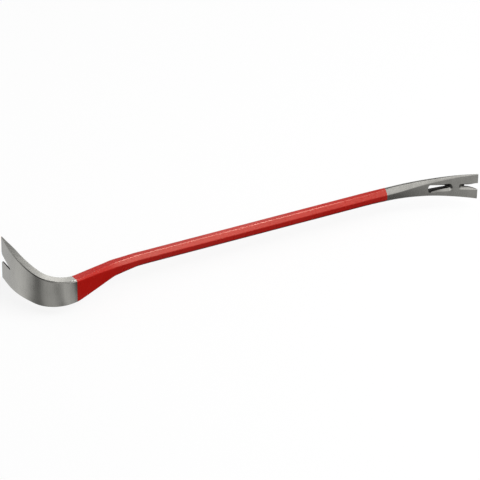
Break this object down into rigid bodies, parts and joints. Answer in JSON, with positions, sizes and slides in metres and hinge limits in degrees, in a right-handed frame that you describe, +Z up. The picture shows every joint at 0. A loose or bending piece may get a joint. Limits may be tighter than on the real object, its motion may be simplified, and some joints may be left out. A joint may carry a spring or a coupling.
{
  "type": "crowbar",
  "caption": "One-piece forged wrecking bar with a gooseneck nail claw, an octagonal painted shank and a curved chisel end with a nail hole and a notched tip",
  "frame": {"origin": "bottom centre of the bounding box, with the bar lying on its side and its bend plane level", "axes": "+X runs along the shank towards the chisel end, +Y is the side that the claw curls to, +Z is up, square to the bend plane"},
  "size_m": [0.7016, 0.1252, 0.069],
  "materials": {
    "ground_steel": "ground and brushed bare forged steel, satin",
    "red_paint": "semi-gloss red enamel over octagonal steel stock"
  },
  "bodies": {
    "root": {"forged_bar": "ground_steel", "red_coating": "red_paint"}
  },
  "joints": []
}
